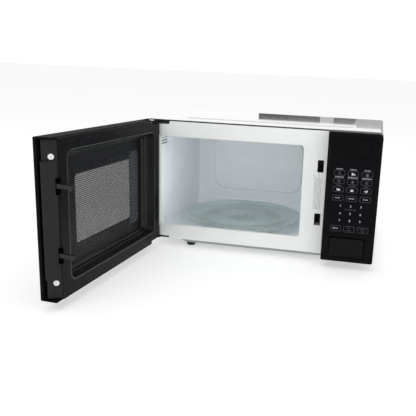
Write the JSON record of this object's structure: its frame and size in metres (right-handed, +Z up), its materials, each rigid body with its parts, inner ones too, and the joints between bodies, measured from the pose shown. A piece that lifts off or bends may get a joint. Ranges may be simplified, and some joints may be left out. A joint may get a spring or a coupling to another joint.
{
  "type": "microwave oven",
  "caption": "Countertop microwave oven with a side-hinged door standing open, a glass turntable and a touch control panel with a push-button door release.",
  "frame": {"origin": "centre of the footprint of the oven stored with its door open, on the surface the feet stand on", "axes": "+Z up, -Y the way the front faces, +X towards the control panel"},
  "size_m": [0.4709, 0.6515, 0.2571],
  "materials": {
    "white_enamel": "smooth white powder coat",
    "cavity_enamel": "pale grey oven paint",
    "zinc_steel": "zinc coated sheet",
    "dark_steel": "black painted steel",
    "hinge_steel": "bright steel",
    "spring_steel": "spring wire",
    "door_plastic": "black moulding, semi-gloss",
    "panel_plastic": "black moulding, semi-gloss",
    "keypad_film": "printed black film",
    "display_lens": "smoked lens",
    "door_pane": "smoked glass",
    "clear_film": "clear film",
    "tray_glass": "clear greenish glass",
    "lamp_glass": "clear glass",
    "hook_plastic": "black acetal",
    "white_screw": "white painted screw",
    "ivory_plastic": "natural nylon",
    "switch_plastic": "black phenolic",
    "rubber_black": "black rubber",
    "circuit_board": "solder-masked board",
    "display_body": "dark display body",
    "copper_winding": "lacquered copper",
    "mica": "mica sheet"
  },
  "bodies": {
    "root": {"front_plate": "white_enamel", "outer_cover": "white_enamel", "base_plate": "zinc_steel", "rear_panel": "zinc_steel", "cord_inlet": "rubber_black", "foot_front_left": "rubber_black", "foot_front_right": "rubber_black", "foot_rear_left": "rubber_black", "foot_rear_right": "rubber_black", "cavity_shell": "cavity_enamel", "hinge_bracket_lower": "dark_steel", "hinge_bracket_upper": "dark_steel", "hinge_pin_lower": "hinge_steel", "hinge_pin_upper": "hinge_steel", "turntable_motor": "zinc_steel", "control_panel_housing": "panel_plastic", "keypad_membrane": "keypad_film", "display_window": "display_lens", "display_module": "display_body", "control_board": "circuit_board", "button_spring": "spring_steel", "latch_board": "ivory_plastic", "switch_primary": "switch_plastic", "switch_secondary": "switch_plastic", "switch_monitor": "switch_plastic", "waveguide": "zinc_steel", "waveguide_cover": "mica", "magnetron": "zinc_steel", "transformer_core": "zinc_steel", "transformer_winding": "copper_winding", "capacitor": "zinc_steel", "capacitor_clamp": "zinc_steel", "diode": "switch_plastic", "fan_shroud": "ivory_plastic", "fan_motor": "zinc_steel", "filter_board": "circuit_board", "lamp_holder": "ivory_plastic", "oven_lamp": "lamp_glass", "thermal_cutout": "switch_plastic"},
    "door": {"door_frame": "door_plastic", "door_glass": "door_pane", "door_inner_plate": "dark_steel", "door_screen": "dark_steel", "door_window_film": "clear_film", "door_choke_cover": "door_plastic", "door_screw_lower": "white_screw", "door_screw_upper": "white_screw", "latch_spring": "spring_steel"},
    "latch_bar": {"latch_bar": "hook_plastic"},
    "turntable_coupler": {"turntable_coupler": "ivory_plastic"},
    "glass_tray": {"glass_tray": "tray_glass"},
    "roller_ring": {"roller_ring": "ivory_plastic"},
    "roller_wheel_1": {"roller_wheel_1": "ivory_plastic"},
    "roller_wheel_2": {"roller_wheel_2": "ivory_plastic"},
    "roller_wheel_3": {"roller_wheel_3": "ivory_plastic"},
    "release_button": {"release_button": "panel_plastic"},
    "release_lever": {"release_lever": "ivory_plastic"},
    "fan_blade": {"fan_blade": "ivory_plastic"}
  },
  "joints": [
    {"name": "door_hinge", "type": "hinge", "parent": "root", "child": "door", "pos_m": [-0.20088, 0.01286, 0.135], "axis": [0, 0, -1], "range_deg": [-93.4, 9]},
    {"name": "latch_slide", "type": "slide", "parent": "door", "child": "latch_bar", "axis": [0, 0, 1], "range_m": [0, 0.004], "stiffness_N_per_m": 300, "springref_m": -0.004, "deforming": ["latch_spring"]},
    {"name": "coupler_spin", "type": "hinge", "parent": "root", "child": "turntable_coupler", "pos_m": [-0.05048, 0.16686, 0.024], "axis": [0, 0, 1], "continuous": true},
    {"name": "tray_lift", "type": "slide", "parent": "turntable_coupler", "child": "glass_tray", "axis": [0, 0, 1], "range_m": [0, 0.03]},
    {"name": "ring_spin", "type": "hinge", "parent": "root", "child": "roller_ring", "pos_m": [-0.05048, 0.16686, 0.03], "axis": [0, 0, 1], "continuous": true},
    {"name": "button_slide", "type": "slide", "parent": "root", "child": "release_button", "axis": [0, 1, 0], "range_m": [0, 0.006], "stiffness_N_per_m": 800, "springref_m": -0.002, "deforming": ["button_spring"]},
    {"name": "lever_pivot", "type": "hinge", "parent": "root", "child": "release_lever", "pos_m": [0.15312, 0.03886, 0.06], "axis": [1, 0, 0], "range_deg": [0, 19]},
    {"name": "fan_spin", "type": "hinge", "parent": "root", "child": "fan_blade", "pos_m": [0.17152, 0.28486, 0.16], "axis": [0, 1, 0], "continuous": true},
    {"name": "wheel_1_spin", "type": "hinge", "parent": "roller_ring", "child": "roller_wheel_1", "pos_m": [0.02243, 0.11581, 0.03], "axis": [0.8192, -0.5736, 0], "continuous": true},
    {"name": "wheel_2_spin", "type": "hinge", "parent": "roller_ring", "child": "roller_wheel_2", "pos_m": [-0.04272, 0.25552, 0.03], "axis": [0.0872, 0.9962, 0], "continuous": true},
    {"name": "wheel_3_spin", "type": "hinge", "parent": "roller_ring", "child": "roller_wheel_3", "pos_m": [-0.13114, 0.12925, 0.03], "axis": [-0.9063, -0.4226, 0], "continuous": true}
  ],
  "couplings": [
    {"joint": "ring_spin", "follows": "coupler_spin", "ratio": 0.5},
    {"joint": "lever_pivot", "follows": "button_slide", "rad_per_m": 55.24},
    {"joint": "wheel_1_spin", "follows": "coupler_spin", "ratio": -7.4167},
    {"joint": "wheel_2_spin", "follows": "coupler_spin", "ratio": -7.4167},
    {"joint": "wheel_3_spin", "follows": "coupler_spin", "ratio": -7.4167}
  ]
}
